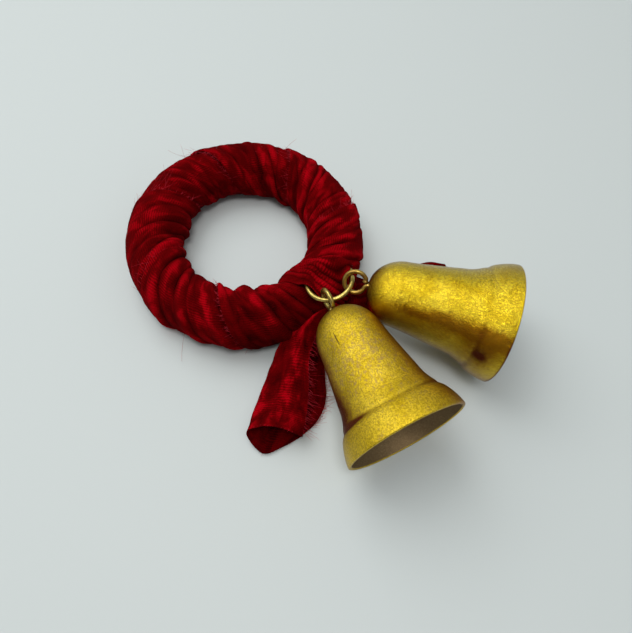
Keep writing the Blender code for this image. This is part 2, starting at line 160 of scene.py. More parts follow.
# ---- node helpers ----
class Shader:
    """Builds a node material a line at a time."""

    def __init__(self, name):
        self.material = bpy.data.materials.new(name)
        self.material.use_nodes = True
        self.tree = self.material.node_tree
        self.principled = self.tree.nodes["Principled BSDF"]

    def node(self, kind, **settings):
        made = self.tree.nodes.new(kind)
        for key, value in settings.items():
            setattr(made, key, value)
        return made

    def link(self, source, target):
        self.tree.links.new(source, target)

    def put(self, target, value):
        """A socket gets a number, a colour or another node's output."""
        if isinstance(value, bpy.types.NodeSocket):
            self.link(value, target)
        else:
            target.default_value = value

    def attribute(self, name, output="Vector"):
        return self.node("ShaderNodeAttribute", attribute_name=name).outputs[output]

    def noise(self, vector, scale, detail=3.0, rough=0.55, distortion=0.0):
        made = self.node("ShaderNodeTexNoise")
        self.put(made.inputs["Vector"], vector)
        made.inputs["Scale"].default_value = scale
        made.inputs["Detail"].default_value = detail
        made.inputs["Roughness"].default_value = rough
        made.inputs["Distortion"].default_value = distortion
        return made.outputs["Fac"]

    def vector(self, operation, first, second):
        made = self.node("ShaderNodeVectorMath", operation=operation)
        self.link(first, made.inputs[0])
        made.inputs[1].default_value = second
        return made.outputs["Value" if operation == "DOT_PRODUCT" else "Vector"]

    def scaled(self, vector, factors):
        return self.vector("MULTIPLY", vector, factors)

    def ramp(self, value, stops, smooth=False):
        made = self.node("ShaderNodeValToRGB")
        self.put(made.inputs["Fac"], value)
        made.color_ramp.interpolation = "EASE" if smooth else "LINEAR"
        elements = made.color_ramp.elements
        while len(elements) < len(stops):
            elements.new(0.5)
        for element, (place, colour) in zip(elements, stops):
            element.position = place
            if isinstance(colour, (int, float)):
                colour = (colour, colour, colour)
            element.color = (*colour[:3], 1)
        return made.outputs["Color"]

    def math(self, operation, first, second=0.0, third=None, clamp=False):
        made = self.node("ShaderNodeMath", operation=operation, use_clamp=clamp)
        self.put(made.inputs[0], first)
        self.put(made.inputs[1], second)
        if third is not None:
            self.put(made.inputs[2], third)
        return made.outputs[0]

    def blend(self, value, share, rest):
        """The value times its share, plus the rest."""
        return self.math("MULTIPLY_ADD", value, share, rest)

    def mix(self, factor, first, second):
        made = self.node("ShaderNodeMix", data_type="RGBA")
        self.put(made.inputs[0], factor)
        for socket, value in ((made.inputs[6], first), (made.inputs[7], second)):
            if isinstance(value, tuple):
                value = (*value[:3], 1)
            self.put(socket, value)
        return made.outputs[2]

    def stroke(self, vector, centre, along, across, length, width):
        """1 on a short straight scratch, 0 off it."""
        parts = []
        for direction, reach in ((along, length), (across, width)):
            dot = self.vector("DOT_PRODUCT", self.vector("SUBTRACT", vector, centre), direction)
            share = self.math("DIVIDE", self.math("ABSOLUTE", dot), reach)
            parts.append(self.math("SUBTRACT", 1.0, share, clamp=True))
        return self.math("MULTIPLY", self.math("POWER", parts[0], 0.4), parts[1])

    def bump(self, height, strength, distance):
        made = self.node("ShaderNodeBump")
        self.put(made.inputs["Height"], height)
        made.inputs["Strength"].default_value = strength
        made.inputs["Distance"].default_value = distance
        return made.outputs["Normal"]

    def finish(self, **sockets):
        for name, value in sockets.items():
            socket = self.principled.inputs[name.replace("_", " ")]
            if isinstance(value, tuple) and len(value) == 3:
                value = (*value, 1)
            self.put(socket, value)
        return self.material


WALE_SPACING = 0.72             # mm between the velvet's ribs
WALE_WANDER = 9.0               # how far noise bends the ribs, in radians of their phase


def velvet_material():
    """Crushed pile: wales across the strip, painted light on fold lips and towards the light, painted
    shade in creases.
    """
    s = Shader("crushed_velvet")
    cloth = s.attribute("cloth")               # along and across the strip, in mm
    # painted light and shade, one value a point: bright on fold lips, near the hole and on turns towards
    # the light, dark in creases
    painted_light = s.attribute("painted_light", "Fac")
    wander = s.noise(cloth, 0.35, 2.0, 0.5)
    split = s.node("ShaderNodeSeparateXYZ")
    s.link(cloth, split.inputs[0])
    phase = s.math("MULTIPLY_ADD", split.outputs["X"], 2 * math.pi / WALE_SPACING)
    phase = s.blend(wander, WALE_WANDER, phase)
    wale = s.blend(s.math("SINE", phase), 0.5, 0.5)
    crushed = s.noise(s.scaled(cloth, (0.16, 0.30, 1)), 1.0, 2.0, 0.5, 0.5)
    crushed = s.ramp(crushed, ((0.32, 0.0), (0.66, 1.0)), smooth=True)
    pile = s.noise(cloth, 3.6, 4.0, 0.8)
    ribbed = s.ramp(s.noise(s.scaled(cloth, (0.10, 0.16, 1)), 1.0, 1.0), ((0.40, 0.25), (0.60, 1.0)))
    wale = s.math("MULTIPLY", wale, ribbed)
    # tone: the painted light and shade, with crushed patches, wales and pile as the cloth's own tone
    tone = s.blend(painted_light, 0.62, s.math("MULTIPLY", crushed, 0.15))
    tone = s.blend(wale, 0.085, tone)
    tone = s.blend(pile, 0.34, tone)
    colour = s.ramp(tone, ((0.24, (0.019, 0.0001, 0.0003)), (0.48, (0.125, 0.0004, 0.0012)),
                           (0.66, (0.50, 0.0010, 0.0070)), (0.92, (1.00, 0.009, 0.040))))
    height = s.blend(pile, 0.8, s.math("MULTIPLY", wale, 0.42))
    height = s.blend(crushed, 0.35, height)
    normal = s.bump(height, 0.8, 0.00045)
    return s.finish(Base_Color=colour, Roughness=0.95, Normal=normal, Specular_IOR_Level=0.01,
                    Sheen_Weight=0.07, Sheen_Roughness=0.40, Sheen_Tint=(1.0, 0.02, 0.03))


def thread_material():
    s = Shader("thread")
    place = s.node("ShaderNodeTexCoord").outputs["Object"]
    tone = s.noise(place, 900.0, 1.0)
    colour = s.ramp(tone, ((0.3, (0.30, 0.004, 0.011)), (0.7, (0.56, 0.036, 0.052))))
    return s.finish(Base_Color=colour, Roughness=0.9, Specular_IOR_Level=0.03)


# colours of the gilding's wear and of painted shade and reflection, from lightest to darkest
BARE_BRASS = (0.40, 0.245, 0.090)
# painted reflection and shade on the bells' sides, and a stain round bell B's burnt spot
AMBER = (0.30, 0.115, 0.004)
SPECK = (0.31, 0.165, 0.008)
# painted shade at the limb, where the surface turns away from the view
LIMB_SHADE = (0.17, 0.075, 0.006)             # where the surface turns away
SCRATCHED = (0.15, 0.075, 0.035)
FLECK = (0.14, 0.060, 0.008)
# red-brown patina in the recesses, also used for painted shade down the flanks and underneath
RED_BROWN = (0.125, 0.024, 0.004)


def gilt_material(name, seed, worn, polish, relief, base, pale, scratch=None):
    """Gilt over brass: fine speckle, rubbed patches and red-brown patina in the recesses, with painted
    shade and reflection in the brown and amber marks and at the limb.

    worn runs from 0, new, to 1; polish is the lowest roughness; relief is the bump's depth.
    """
    s = Shader(name)
    own = s.attribute("local")                 # bell's own frame, in mm
    local = s.vector("ADD", own, (seed * 3, seed, seed * 2))
    # red-brown patina in the recesses, plus painted shade and reflection down the flanks and underneath
    patina_and_shade = s.attribute("patina_and_shade", "Fac")
    rubbed = s.attribute("rubbed", "Fac")
    # painted reflection and shade on the bells' sides, and the stain round bell B's burnt spot
    amber = s.attribute("amber", "Fac")
    grain = s.noise(s.scaled(local, (1.0, 1.0, 0.8)), 2.3 + 0.2 * worn, 5.0, 0.85)
    cloud = s.noise(local, 0.16, 4.0, 0.6, 0.4)
    blotch = s.noise(s.scaled(local, (1.0, 1.0, 0.8)), 1.15, 6.0, 0.75, 0.6)
    uneven = s.math("SUBTRACT", blotch, 0.5)

    gold = s.ramp(cloud, ((0.30, base), (0.70, pale)))
    speck = s.ramp(grain, ((0.43, 1.0), (0.57, 0.0)))
    gold = s.mix(s.math("MULTIPLY", speck, 0.20 * worn + 0.55), gold, SPECK)
    rub = s.ramp(s.blend(rubbed, 0.10, blotch), ((0.57, 0.0), (0.66, 1.0)))
    rub = s.math("MULTIPLY", rub, 0.70 * worn)
    gold = s.mix(rub, gold, BARE_BRASS)
    fleck = s.ramp(s.noise(local, 1.9, 4.0, 0.85), ((0.63, 0.0), (0.69, 0.85)))
    gold = s.mix(fleck, gold, FLECK)
    # amber: painted reflection and shade on the bells' sides, and the stain round bell B's burnt spot
    glow = s.blend(uneven, 1.3, amber)
    gold = s.mix(s.ramp(glow, ((0.15, 0.0), (0.85, 0.85))), gold, AMBER)
    # painted shade at the limb: darker where the surface turns away from the view
    turned = s.node("ShaderNodeLayerWeight")
    turned.inputs["Blend"].default_value = 0.35
    limb_shade = s.ramp(turned.outputs["Facing"], ((0.45, 0.0), (0.95, 0.70)))
    gold = s.mix(limb_shade, gold, LIMB_SHADE)
    # brown: red-brown patina and painted shade, broken up by noise
    edge = s.blend(uneven, 0.7, patina_and_shade)
    edge = s.blend(s.math("SUBTRACT", grain, 0.5), 0.6, edge)
    brown = s.ramp(edge, ((0.30, 0.0), (1.0, 1.0)))
    gold = s.mix(brown, gold, RED_BROWN)

    rough = s.blend(grain, 0.22, polish)
    rough = s.blend(rub, 0.16, rough)
    rough = s.blend(brown, 0.10, rough)
    metal = s.math("SUBTRACT", 1.0, s.math("MULTIPLY", rub, 0.25))
    height = s.blend(blotch, 0.5, grain)
    if scratch is not None:
        mark = s.stroke(own, *scratch)
        gold = s.mix(mark, gold, SCRATCHED)
        height = s.blend(mark, -1.5, height)
    normal = s.bump(height, 0.75, relief)
    return s.finish(Base_Color=gold, Metallic=metal, Roughness=rough, Normal=normal)


def bronze_material():
    s = Shader("bell_inside")
    local = s.attribute("local")
    grain = s.noise(local, 2.6, 5.0, 0.75)
    cloud = s.noise(local, 0.25, 3.0)
    colour = s.ramp(grain, ((0.30, (0.16, 0.100, 0.045)), (0.60, (0.30, 0.205, 0.100)),
                            (0.75, (0.50, 0.37, 0.18))))
    colour = s.mix(s.math("MULTIPLY", cloud, 0.5), colour, (0.13, 0.078, 0.035))
    normal = s.bump(grain, 0.4, 0.00012)
    return s.finish(Base_Color=colour, Metallic=0.75, Roughness=0.58, Normal=normal)


def wire_material(name, base, dark, rough):
    """Drawn wire: fine lines along it and darker tarnish in patches."""
    s = Shader(name)
    local = s.attribute("local")               # along, and round the wire, in mm
    drawn = s.noise(s.scaled(local, (0.5, 7.0, 7.0)), 1.0, 3.0, 0.6)
    patch = s.noise(local, 0.55, 3.0, 0.6)
    colour = s.mix(s.ramp(patch, ((0.42, 0.0), (0.68, 0.9))), base, dark)
    colour = s.mix(s.ramp(drawn, ((0.35, 0.45), (0.60, 0.0))), colour, dark)
    roughness = s.blend(patch, 0.25, rough)
    normal = s.bump(drawn, 0.25, 0.00006)
    return s.finish(Base_Color=colour, Metallic=1.0, Roughness=roughness, Normal=normal)


def floor_material():
    s = Shader("floor")
    place = s.node("ShaderNodeTexCoord").outputs["Object"]
    soft = s.noise(place, 3.0, 2.0)
    colour = s.mix(soft, (0.552, 0.584, 0.578), (0.570, 0.599, 0.593))
    return s.finish(Base_Color=colour, Roughness=0.55, Specular_IOR_Level=0.25)


# ---- mesh helpers ----
def mesh_object(name, points, faces, material, attributes=None, smooth=True):
    """A piece from plain arrays, with per-vertex attributes and its material."""
    mesh = bpy.data.meshes.new(name)
    mesh.from_pydata([tuple(p) for p in points], [], [tuple(f) for f in faces])
    mesh.update()
    for key, values in (attributes or {}).items():
        values = np.asarray(values, dtype=np.float32)
        if values.ndim == 1:
            made = mesh.attributes.new(key, "FLOAT", "POINT")
            made.data.foreach_set("value", values)
        else:
            made = mesh.attributes.new(key, "FLOAT_VECTOR", "POINT")
            made.data.foreach_set("vector", values.ravel())
    mesh.polygons.foreach_set("use_smooth", [smooth] * len(mesh.polygons))
    mesh.materials.append(material)
    obj = bpy.data.objects.new(name, mesh)
    bpy.context.scene.collection.objects.link(obj)
    return obj


def unit(vector):
    return vector / np.linalg.norm(vector)


def grid_normals(grid):
    along = np.gradient(grid, axis=0)
    across = np.gradient(grid, axis=1)
    normal = np.cross(along, across)
    return normal / np.maximum(np.linalg.norm(normal, axis=2, keepdims=True), 1e-12)


def cloth_object(name, grid, material, cloth, painted_light):
    """A closed sheet of cloth: the grid is its pile side, and its thickness goes inward."""
    rows, columns = grid.shape[:2]
    inner = grid - grid_normals(grid) * SHEET
    points = np.concatenate([grid.reshape(-1, 3), inner.reshape(-1, 3)])
    index = np.arange(rows * columns).reshape(rows, columns)
    quads = np.stack([index[:-1, :-1], index[1:, :-1], index[1:, 1:], index[:-1, 1:]], -1)
    quads = quads.reshape(-1, 4)
    under = quads[:, ::-1] + rows * columns
    edge = np.concatenate([index[0, :-1], index[:-1, -1], index[-1, :0:-1], index[:0:-1, 0]])
    turned = np.roll(edge, -1)
    rim = np.stack([edge, turned, turned + rows * columns, edge + rows * columns], -1)
    faces = np.concatenate([quads, under, rim])
    # the back of the sheet takes the same painted light and shade, darkened to 0.4
    both = {"cloth": np.concatenate([cloth.reshape(-1, 3)] * 2),
            "painted_light": np.concatenate([painted_light.ravel(), painted_light.ravel() * 0.4])}
    return mesh_object(name, points, faces, material, both)


def ring_faces(ring, following, sides):
    """Quads between two rings of points, given the number of each ring's first point."""
    return [(ring + j, following + j, following + (j + 1) % sides, ring + (j + 1) % sides)
            for j in range(sides)]


def tube_arrays(path, radii, sides):
    """Points and faces of a round tube along a path, with flat ends."""
    path = np.asarray(path, float)
    count = len(path)
    tangent = np.gradient(path, axis=0)
    tangent /= np.linalg.norm(tangent, axis=1, keepdims=True)
    axis = np.eye(3)[np.argmin(np.abs(tangent[0]))]
    side = unit(np.cross(tangent[0], axis))
    angles = np.arange(sides) * 2 * np.pi / sides
    rings = []
    for i in range(count):
        side = unit(side - tangent[i] * side.dot(tangent[i]))
        up = np.cross(tangent[i], side)
        ring = path[i] + radii[i] * (np.cos(angles)[:, None] * side + np.sin(angles)[:, None] * up)
        rings.append(ring)
    points = np.concatenate(rings)
    faces = []
    for i in range(count - 1):
        for j in range(sides):
            k = (j + 1) % sides
            faces.append((i * sides + j, i * sides + k, (i + 1) * sides + k, (i + 1) * sides + j))
    faces.append(tuple(range(sides))[::-1])
    faces.append(tuple((count - 1) * sides + j for j in range(sides)))
    return points, faces


def wire_object(name, path, radii, material):
    """A round wire whose local attribute is the place along it and round it, in mm."""
    points, faces = tube_arrays(path, radii, WIRE_SIDES)
    run = np.concatenate([[0], np.cumsum(np.linalg.norm(np.diff(path, axis=0), axis=1))])
    around = np.tile(np.arange(WIRE_SIDES) * 2 * np.pi / WIRE_SIDES, len(path))
    radius = WIRE_RADIUS / MM
    along = np.repeat(run, WIRE_SIDES) / MM
    local = np.stack([along, np.cos(around) * radius, np.sin(around) * radius], -1)
    return mesh_object(name, points, faces, material, {"local": local})


def spline(points, count):
    """A smooth curve through the points, evenly stepped between them."""
    points = np.asarray(points, float)
    first = 2 * points[0] - points[1]
    last = 2 * points[-1] - points[-2]
    padded = np.concatenate([[first], points, [last]])
    spans = len(points) - 1
    place = np.linspace(0, spans, count)
    span = np.minimum(place.astype(int), spans - 1)
    t = (place - span).reshape((-1,) + (1,) * (points.ndim - 1))
    p0, p1, p2, p3 = (padded[span + k] for k in range(4))
    return 0.5 * (2 * p1 + (p2 - p0) * t + (2 * p0 - 5 * p1 + 4 * p2 - p3) * t ** 2
                  + (3 * p1 - p0 - 3 * p2 + p3) * t ** 3)


def smoothstep(low, high, value):
    t = np.clip((value - low) / (high - low), 0, 1)
    return t * t * (3 - 2 * t)


def turning(low, high, angle):
    """smoothstep between two angles given in degrees."""
    return smoothstep(math.radians(low), math.radians(high), angle)


def bump_at(value, centre, width):
    """A bell curve: 1 at the centre, falling off over the width."""
    return np.exp(-((value - centre) / width) ** 2)


def rough_field(points, scale, seed):
    """Smooth noise at each point, about -1 to 1."""
    flat = points.reshape(-1, 3) * scale
    values = [noise.noise(Vector((x + seed, y - seed, z + 2 * seed))) for x, y, z in flat]
    return np.array(values).reshape(points.shape[:-1])


# ---- velvet wrap ----
TURNS = 7
PITCH = 2 * math.pi / TURNS
WRAP_START = math.radians(322.9)       # middle of the strip where winding starts, underneath
STRIP_CW = math.radians(34.2)          # strip's reach clockwise from its middle
STRIP_CCW = math.radians(26.0)
STRIP_WIDTH = 0.036
TURN_LENGTH = 58.5                     # mm of strip in one turn round the tube
WRAP_RADIUS = 0.0080
WRAP_ROWS_A_TURN = 90
WRAP_COLUMNS = 76
WRAP_END = 0.02                        # turns left off at each end of the strip
SHEET = 0.00045
CORE_COVER = 0.00015                   # cloth left over the core in the deepest crease
# mm over the wrap's radius: everywhere, more where an edge lies on top, less where it is buried
LIFT, EDGE_LIFT, BURIED = 0.25, 0.45, 0.75
# each turn's creases: count, depth in mm on the inside, on the outside, their width in mm
TURN_FOLDS = ((8, 1.25, 0.80, 1.10), (8, 1.00, 0.75, 1.00), (6, 0.65, 0.15, 1.00),
              (8, 0.60, 0.22, 0.80), (13, 0.80, 0.34, 0.60), (12, 0.90, 0.40, 0.65),
              (10, 0.90, 0.55, 0.75))
FOLD_STRENGTHS = (0.35, 0.6, 1.0, 1.3)
FOLD_SEED = 5
# bulges round the hole: height in mm, middle and width in degrees round the hoop
HOLE_BULGES = ((1.5, 172, 13), (-0.6, 193, 5), (0.3, 218, 10), (-0.5, 246, 5))
HOLE_SLACK, HOLE_SLACK_FAR = 0.65, 0.60     # mm taken off on average, and more towards the far side


def fold_height(across, section, folds, random):
    """Sharp creases that run round the tube, gathered on the inside of the hoop.

    Each is a cusp-shaped valley with a soft lip beside it, and has its own place,
    depth and reach. Returns the height in mm, and painted light and shade from about 0,
    painted shade in a crease, to 1, a painted highlight on a lip.
    """
    count, inside, outside, width = folds
    inward = turning(5, 165, section)
    rise = turning(-90, -20, section) * (1 - turning(215, 268, section))
    span = STRIP_WIDTH / MM - 15.0 * inward
    height = np.zeros_like(across)
    for j in range(count):
        far = (j + random.uniform(0.1, 0.9)) / count
        near = 0.5 + (far - 0.5) * random.uniform(0.55, 1.15) + random.uniform(-0.10, 0.10)
        wander = random.uniform(0.004, 0.016) * np.sin(section * random.uniform(1.5, 3.0) + j)
        place = far + (near - far) * inward + wander
        strength = random.choice(FOLD_STRENGTHS)
        fade = outside + (inside - outside) * inward
        start = math.radians(random.uniform(-60, 60)) if random.random() < 0.5 else -2.0
        fade = fade * smoothstep(start, start + 0.7, section) * strength * rise
        thin = width * random.uniform(0.6, 1.5)
        offset = (across - place) * span
        valley = np.exp(-(np.abs(offset) / thin) ** 0.95)
        side = random.choice((-1.0, 1.0))
        lip = bump_at(offset * side, 1.9 * thin, 1.5 * thin)
        height += fade * (0.62 * lip - 1.0 * valley)
    sway = 0.16 * np.sin(across * 9.0 + section * 1.3 + random.uniform(0, 6)) * rise
    height = np.clip(height + sway, -1.5, 1.3)
    return height, np.clip(0.50 + 0.52 * height, 0, 1)


def wrap_point(turns, across, lift):
    """Where a point of the strip lies: turns wound, 0 to 1 across, height over the base in mm."""
    section = 2 * math.pi * turns - math.pi / 2
    around = WRAP_START - PITCH * turns - STRIP_CW + (STRIP_CW + STRIP_CCW) * across
    radius = WRAP_RADIUS + lift * MM
    reach = HOOP_RADIUS + radius * np.cos(section)
    x = HOOP_X + reach * np.cos(around)
    y = HOOP_Y + reach * np.sin(around)
    z = HOOP_Z + radius * np.sin(section)
    return np.stack([x, y, z], -1), around, section


def overlaps(turns, across):
    """Lift in mm where the strip lies on its neighbour, and 1 where its own edge is buried.

    One edge lies on top on the first three turns, the other on the last three.
    """
    first = 1 - smoothstep(2.9, 3.1, turns)
    last = smoothstep(3.9, 4.1, turns)
    middle = 1 - first - last
    top_cw = 1 - smoothstep(0.06, 0.26, across)
    top_ccw = smoothstep(0.74, 0.94, across)
    buried_ccw = smoothstep(0.76, 0.87, across)
    buried_cw = 1 - smoothstep(0.13, 0.24, across)
    lift = LIFT + first * (EDGE_LIFT * top_cw - BURIED * buried_ccw)
    lift += last * (EDGE_LIFT * top_ccw - BURIED * buried_cw)
    lift -= middle * BURIED * (buried_cw + buried_ccw)
    under = first * buried_ccw + last * buried_cw + middle * (buried_cw + buried_ccw)
    return lift, under


def all_folds(turns, across, random):
    """Fold height and crest of every turn, each with its own creases."""
    height = np.zeros_like(turns)
    painted_light = np.zeros_like(turns)
    for turn, folds in enumerate(TURN_FOLDS):
        mine = (turns >= turn) & ((turns < turn + 1) | (turn == TURNS - 1))
        section = 2 * math.pi * (turns - turn) - math.pi / 2
        # the turn's fold height, and its painted light and shade: dark in creases, bright on lips
        fold, lip_light = fold_height(across, section, folds, random)
        height = np.where(mine, fold, height)
        painted_light = np.where(mine, lip_light, painted_light)
    return height, painted_light


def make_wrap(material):
    rows = TURNS * WRAP_ROWS_A_TURN + 1
    turns, across = np.meshgrid(np.linspace(WRAP_END, TURNS - WRAP_END, rows),
                                np.linspace(0, 1, WRAP_COLUMNS), indexing="ij")
    lift, under = overlaps(turns, across)
    height, painted_light = all_folds(turns, across, np.random.default_rng(FOLD_SEED))
    edges = smoothstep(0.0, 0.07, across) * smoothstep(0.0, 0.07, 1 - across)
    height *= (1 - under) * (0.35 + 0.65 * edges)
    base, around, section = wrap_point(turns, across, 0.0)
    crumple = rough_field(base, 330.0, 4.0) * 0.10 + rough_field(base, 900.0, 9.0) * 0.06
    at_hole = np.exp(-((np.cos(section) + 1) / 0.55) ** 2)
    azimuth = np.degrees(around) % 360
    bulge = -(HOLE_SLACK + HOLE_SLACK_FAR * np.sin(around))
    for high, middle, width in HOLE_BULGES:
        bulge += high * bump_at(azimuth, middle, width)
    total = lift + height + (1 - under) * crumple + bulge * at_hole
    total = np.maximum(total, (CORE_RADIUS + SHEET + CORE_COVER - WRAP_RADIUS) / MM)
    # Painted light on the velvet: brighter on the tube's inner side, a painted highlight on the hole's
    # inner rim, strongest on the near side, and brighter on the last two turns, which face the light.
    inward = turning(25, 150, section)
    rim_highlight = bump_at(np.degrees(section), 130, 30) * (0.5 - 0.5 * np.sin(around))
    toward_light = 0.09 * smoothstep(4.6, 5.2, turns)
    painted_light = np.clip(painted_light * 0.98 + 0.30 * inward + 0.42 * rim_highlight + toward_light - 0.08, 0, 1)
    grid, _, _ = wrap_point(turns, across, total)
    grid[..., 2] = np.maximum(grid[..., 2], 0.0001 + 0.0008 * under)
    cloth = np.stack([turns * TURN_LENGTH, across * STRIP_WIDTH / MM, np.zeros_like(turns)], -1)
    wrap = cloth_object("velvet_strip", grid, material, cloth, painted_light)
    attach(wrap, "hoop")
    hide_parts("velvet_wrap")
    return wrap, grid


# ---- binding strap over the jump ring ----
STRAP_START, STRAP_END = -22, 236       # degrees round the tube
STRAP_CCW = -21.5               # its anticlockwise edge on top of the hoop, in degrees
STRAP_TURN = 24.5               # its width round the hoop
STRAP_WIDTH = 12.0              # mm over the ring
STRAP_FALL = 0.10               # degrees round the hoop for each degree of section
STRAP_RADIUS = 0.0083
STRAP_LIFT = 0.95               # over the wrap, in mm
STRAP_TUCK = 1.1                # mm that its edges turn in
RING_COVER = 0.95               # mm of gathered cloth over the ring's wire
# creases: place across at the outer and the inner side, depth in mm, width in mm
STRAP_CREASES = ((0.06, 0.20, 1.0, 0.6), (0.22, 0.34, 1.4, 0.6), (0.36, 0.50, 1.0, 0.5),
                 (0.52, 0.62, 1.5, 0.6), (0.68, 0.74, 1.0, 0.5), (0.86, 0.84, 1.1, 0.6))


def ring_height(x, y):
    """Height of the jump ring's plane."""
    slope = RING_NORMAL / RING_NORMAL.z
    return RING_CENTRE.z - (x - RING_CENTRE.x) * slope.x - (y - RING_CENTRE.y) * slope.y


def lift_over_ring(grid, section, height):
    """Raises the cloth where it passes over the ring's wire."""
    from_ring = np.hypot(grid[..., 0] - RING_CENTRE.x, grid[..., 1] - RING_CENTRE.y) - RING_RADIUS
    over = ring_height(grid[..., 0], grid[..., 1])
    over += (WIRE_RADIUS / MM + RING_COVER + 0.25 * height) * MM
    weight = np.exp(-(np.abs(from_ring) / 0.0019) ** 2.4) * (section > 0.6) * (section < 2.8)
    outside = np.clip((grid[..., 2] - HOOP_Z) / 0.004, 0, 1)
    lifted = grid[..., 2] + (over - grid[..., 2]) * weight * outside
    grid[..., 2] = np.maximum(grid[..., 2], lifted)


def make_strap(material):
    """The last turn of the strip: over the jump ring's wire and down through the ring."""
    rows, columns = 150, 70
    degrees, across = np.meshgrid(np.linspace(STRAP_START, STRAP_END, rows),
                                  np.linspace(0, 1, columns), indexing="ij")
    section = np.radians(degrees)
    narrow = 1 - 0.30 * smoothstep(60, -10, degrees) - 0.18 * smoothstep(120, 200, degrees)
    middle = STRAP_CCW - STRAP_TURN / 2 - STRAP_FALL * (degrees - 80)
    around = np.radians(middle + STRAP_TURN * (across - 0.5) * narrow)
    height = np.zeros_like(across)
    for low, high, depth, thin in STRAP_CREASES:
        place = low + (high - low) * smoothstep(20, 170, degrees)
        offset = (across - place) * STRAP_WIDTH * narrow
        height += depth * (0.5 * bump_at(offset, 1.3 * thin, thin)
                           - 0.8 * np.exp(-(np.abs(offset) / (0.7 * thin)) ** 1.1))
    edge = np.minimum(across, 1 - across)
    tuck = STRAP_TUCK * (1 - smoothstep(0.0, 0.16, edge))
    ends = smoothstep(STRAP_START, 5, degrees) * smoothstep(STRAP_END, 205, degrees)
    ends = ends * (1 - 0.65 * smoothstep(105, 150, degrees))
    radius = STRAP_RADIUS + (STRAP_LIFT * (0.25 + 0.75 * ends) - tuck + height * 0.8) * MM
    reach = HOOP_RADIUS + radius * np.cos(section)
    grid = np.stack([HOOP_X + reach * np.cos(around), HOOP_Y + reach * np.sin(around),
                     HOOP_Z + radius * np.sin(section)], -1)
    lift_over_ring(grid, section, height)
    cloth = np.stack([degrees * 0.15, across * 15.0, np.full_like(across, 7.0)], -1)
    # painted light and shade on the strap: a bright base, brighter on its lips, darker in its creases
    painted_light = np.clip(0.74 + 0.5 * height, 0, 1)
    strap = cloth_object("velvet_strap", grid, material, cloth, painted_light)
    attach(strap, "hoop")
    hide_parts("binding_ribbon")
    return strap


KNOT_POLE = 0.02                # radians left round each pole, closed by a face


def make_knot(material):
    """The tied lump: gathered cloth pulled tight, with creases that meet at its middle."""
    low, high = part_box("ribbon_knot")
    centre = (low + high) / 2
    half = (high - low) / 2
    rows, columns = 60, 120
    polar, turn = np.meshgrid(np.linspace(KNOT_POLE, math.pi - KNOT_POLE, rows),
                              np.linspace(0, 2 * math.pi, columns, endpoint=False), indexing="ij")
    shape = np.stack([np.sin(polar) * np.cos(turn), np.sin(polar) * np.sin(turn), np.cos(polar)], -1)
    swirl = turn + polar * 0.8 + 2.2 * rough_field(shape, 1.3, 2.0)
    crease = np.abs(np.sin(swirl)) ** 0.45
    size = 0.80 + 0.15 * crease + 0.10 * rough_field(shape, 2.6, 5.0)
    grid = shape * size[..., None] * np.array(half) + np.array(centre)
    grid[..., 2] = np.maximum(grid[..., 2], 0.0004)
    count = rows * columns
    faces = []
    for ring in range(0, count - columns, columns):
        faces += ring_faces(ring, ring + columns, columns)
    faces.append(tuple(range(columns)))
    faces.append(tuple(count - 1 - j for j in range(columns)))
    cloth = np.stack([polar * 6, turn * 6, np.full_like(turn, 3.0)], -1).reshape(-1, 3)
    # the crease pattern also paints light and shade: brighter where the knot bulges out, darker in its
    # grooves
    knot = mesh_object("velvet_knot", grid.reshape(-1, 3), faces, material,
                       {"cloth": cloth, "painted_light": crease.ravel() * 0.8})
    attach(knot, "hoop")
    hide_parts("ribbon_knot")
    return knot


# ---- frayed threads ----
THREAD_SIDES = 3
THREAD_TIP = 0.45               # a thread's thickness at its tip, as a share of its root's
WRAP_THREAD = 0.00005           # radius of a thread
END_THREAD = 0.000045
LONG_THREAD = 0.00005
FUZZ = 5000                     # loose pile ends that stand off the wrap
FUZZ_LENGTH = (0.0004, 0.0009)
FRAY_LONGEST = 0.0040
WRAP_FRINGE_SEED = 21
END_FRINGE_SEED = 33
FRAY_SEEN = (-30, 190)          # degrees round the tube where the raw edge is out in the open


def threads_object(name, paths, radius, material):
    """Many thin threads in one piece, each a tapered three-sided tube."""
    points, faces = [], []
    for path in paths:
        path = np.column_stack([path[:, :2], np.maximum(path[:, 2], 2 * radius)])
        radii = radius * np.linspace(1.0, THREAD_TIP, len(path))
        new_points, new_faces = tube_arrays(path, radii, THREAD_SIDES)
        offset = len(points)
        points.extend(new_points)
        faces.extend(tuple(i + offset for i in face) for face in new_faces)
    return mesh_object(name, points, faces, material)


def fray(start, direction, up, length, curl, random, count=6):
    """One thread: leaves along direction and curls."""
    bend = random.normal(0, 1, 3) * curl
    steps = np.linspace(0, 1, count)[:, None]
    return start + direction * length * steps + (bend + up * curl * 0.6) * length * steps ** 2


